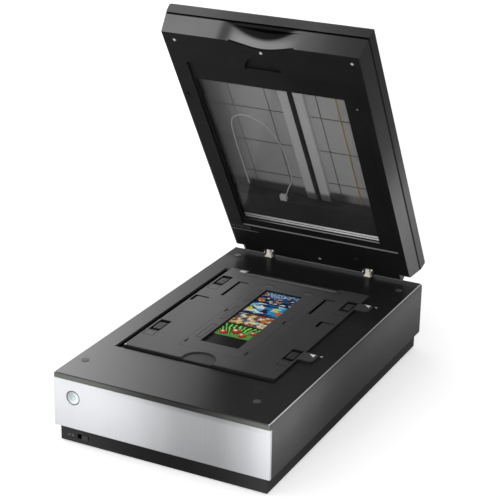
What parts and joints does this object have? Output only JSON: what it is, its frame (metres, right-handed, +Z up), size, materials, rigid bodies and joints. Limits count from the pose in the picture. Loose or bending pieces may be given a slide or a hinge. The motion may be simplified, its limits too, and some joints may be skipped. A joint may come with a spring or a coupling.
{
  "type": "flatbed film and photo scanner",
  "caption": "Flatbed scanner with an open hinged transparency lid, a moving light unit, a scan carriage under glass and a film holder with a strip of film.",
  "frame": {"origin": "on the floor, under the middle of the object's box with the lid open", "axes": "+X to the user's right, +Y from the front panel to the back, +Z up"},
  "size_m": [0.308, 0.527, 0.5178],
  "materials": {
    "tray_black": "fine textured black plastic",
    "case_dark": "dark grey lacquered top, satin side walls",
    "trim_grey": "satin dark grey plastic",
    "silver_panel": "satin silver paint on plastic",
    "black_rubber": "matt rubber",
    "clear_glass": "clear float glass",
    "inner_black": "fine textured black plastic",
    "shell_dark": "satin dark grey plastic",
    "holder_grey": "matt dark grey plastic",
    "clear_plastic": "clear flat plastic",
    "film": "printed colour film with made-up pictures",
    "steel": "bright steel",
    "rail_aluminium": "plain aluminium",
    "brass": "plain brass",
    "ivory_plastic": "ivory moulded plastic",
    "plate_grey": "satin grey reflector sheet",
    "lamp_white": "white light guide",
    "mirror": "silvered strip",
    "board_green": "green circuit board",
    "chip_black": "black component bodies",
    "button_silver": "satin silver plastic with a ring mark",
    "ring_dark": "dark translucent ring",
    "white_lead": "white plastic sleeve",
    "socket_dark": "dark plastic"
  },
  "bodies": {
    "base": {"bottom_tray": "tray_black", "rubber_feet": "black_rubber", "upper_case": "case_dark", "front_trim": "trim_grey", "front_panel": "silver_panel", "glass_gasket": "black_rubber", "platen_glass": "clear_glass", "platen_frame": "tray_black", "lid_bumpers": "black_rubber", "power_ring": "ring_dark", "switch_board": "board_green", "guide_rod": "steel", "support_rail": "steel", "drive_belt": "black_rubber", "drive_motor": "steel", "main_board": "board_green", "board_parts": "chip_black", "power_inlet": "socket_dark", "usb_port": "steel", "lid_port": "socket_dark", "case_screws": "steel", "hinge_sockets": "tray_black", "carriage_ribbon": "white_lead"},
    "button": {"power_button": "button_silver"},
    "lock": {"transport_lock": "tray_black"},
    "drive_wheel": {"drive_pulley": "brass"},
    "idler_wheel": {"idler_pulley": "ivory_plastic"},
    "scan_carriage": {"carriage_frame": "tray_black", "lamp_bars": "lamp_white", "scan_mirrors": "mirror", "lens_unit": "rail_aluminium", "sensor_board": "board_green"},
    "hinge_posts": {"hinge_post_left": "ivory_plastic", "hinge_post_right": "ivory_plastic", "hinge_pins": "steel"},
    "lid": {"hinge_brackets": "steel", "lid_lower_shell": "shell_dark", "lid_outer_cover": "shell_dark", "lid_inner_panel": "inner_black", "lid_window_glass": "clear_glass", "lid_back_plate": "plate_grey", "light_rail": "rail_aluminium", "light_belt": "black_rubber", "guide_wire": "brass", "lamp_cable": "white_lead", "light_motor": "steel", "lid_screws": "steel"},
    "lid_drive_wheel": {"light_drive_pulley": "brass"},
    "lid_idler_wheel": {"light_idler_pulley": "ivory_plastic"},
    "light_unit": {"light_carriage": "chip_black", "light_bars": "lamp_white", "cable_plug": "white_lead"},
    "holder": {"holder_frame": "holder_grey", "film_insert": "clear_plastic", "film_strip": "film"},
    "cover": {"film_cover": "holder_grey"},
    "adjuster_fl": {"adjuster_front_left": "holder_grey"},
    "adjuster_rl": {"adjuster_rear_left": "holder_grey"},
    "adjuster_fr": {"adjuster_front_right": "holder_grey"},
    "adjuster_rr": {"adjuster_rear_right": "holder_grey"}
  },
  "joints": [
    {"name": "power_press", "type": "slide", "parent": "base", "child": "button", "axis": [0, 1, 0], "range_m": [0, 0.0008], "stiffness_N_per_m": 900, "springref_m": -0.0004},
    {"name": "lock_slide", "type": "slide", "parent": "base", "child": "lock", "axis": [-1, 0, 0], "range_m": [0, 0.006]},
    {"name": "scan_travel", "type": "slide", "parent": "base", "child": "scan_carriage", "axis": [0, -1, 0], "range_m": [0, 0.33]},
    {"name": "drive_wheel_turn", "type": "hinge", "parent": "base", "child": "drive_wheel", "pos_m": [-0.1, 0.18851, 0.042], "axis": [0, 0, 1], "range_deg": [-2900, 60]},
    {"name": "idler_wheel_turn", "type": "hinge", "parent": "base", "child": "idler_wheel", "pos_m": [-0.1, -0.22149, 0.042], "axis": [0, 0, 1], "range_deg": [-2900, 60]},
    {"name": "post_lift", "type": "slide", "parent": "base", "child": "hinge_posts", "axis": [0, 0, 1], "range_m": [0, 0.025]},
    {"name": "lid_hinge", "type": "hinge", "parent": "hinge_posts", "child": "lid", "pos_m": [-0.008, 0.22731, 0.1046], "axis": [-1, 0, 0], "range_deg": [-59, 21]},
    {"name": "light_travel", "type": "slide", "parent": "lid", "child": "light_unit", "axis": [0, -0.515, 0.8572], "range_m": [0, 0.28]},
    {"name": "lid_drive_wheel_turn", "type": "hinge", "parent": "lid", "child": "lid_drive_wheel", "pos_m": [0.016, 0.22445, 0.1548], "axis": [0, 0.8572, 0.515], "range_deg": [-60, 2500]},
    {"name": "lid_idler_wheel_turn", "type": "hinge", "parent": "lid", "child": "lid_idler_wheel", "pos_m": [0.016, 0.03389, 0.47195], "axis": [0, 0.8572, 0.515], "range_deg": [-60, 2500]},
    {"name": "holder_lift", "type": "slide", "parent": "base", "child": "holder", "axis": [0, 0, 1], "range_m": [0, 0.06]},
    {"name": "film_cover_hinge", "type": "hinge", "parent": "holder", "child": "cover", "pos_m": [-0.003, 0.11251, 0.1019], "axis": [-1, 0, 0], "range_deg": [0, 75]},
    {"name": "adjuster_fl_slide", "type": "slide", "parent": "holder", "child": "adjuster_fl", "axis": [0, 1, 0], "range_m": [-0.005, 0.005]},
    {"name": "adjuster_rl_slide", "type": "slide", "parent": "holder", "child": "adjuster_rl", "axis": [0, 1, 0], "range_m": [-0.005, 0.005]},
    {"name": "adjuster_fr_slide", "type": "slide", "parent": "holder", "child": "adjuster_fr", "axis": [0, 1, 0], "range_m": [-0.005, 0.005]},
    {"name": "adjuster_rr_slide", "type": "slide", "parent": "holder", "child": "adjuster_rr", "axis": [0, 1, 0], "range_m": [-0.005, 0.005]}
  ],
  "couplings": [
    {"joint": "drive_wheel_turn", "follows": "scan_travel", "rad_per_m": -150.38},
    {"joint": "idler_wheel_turn", "follows": "scan_travel", "rad_per_m": -150.38},
    {"joint": "lid_drive_wheel_turn", "follows": "light_travel", "rad_per_m": 152.67},
    {"joint": "lid_idler_wheel_turn", "follows": "light_travel", "rad_per_m": 152.67}
  ]
}
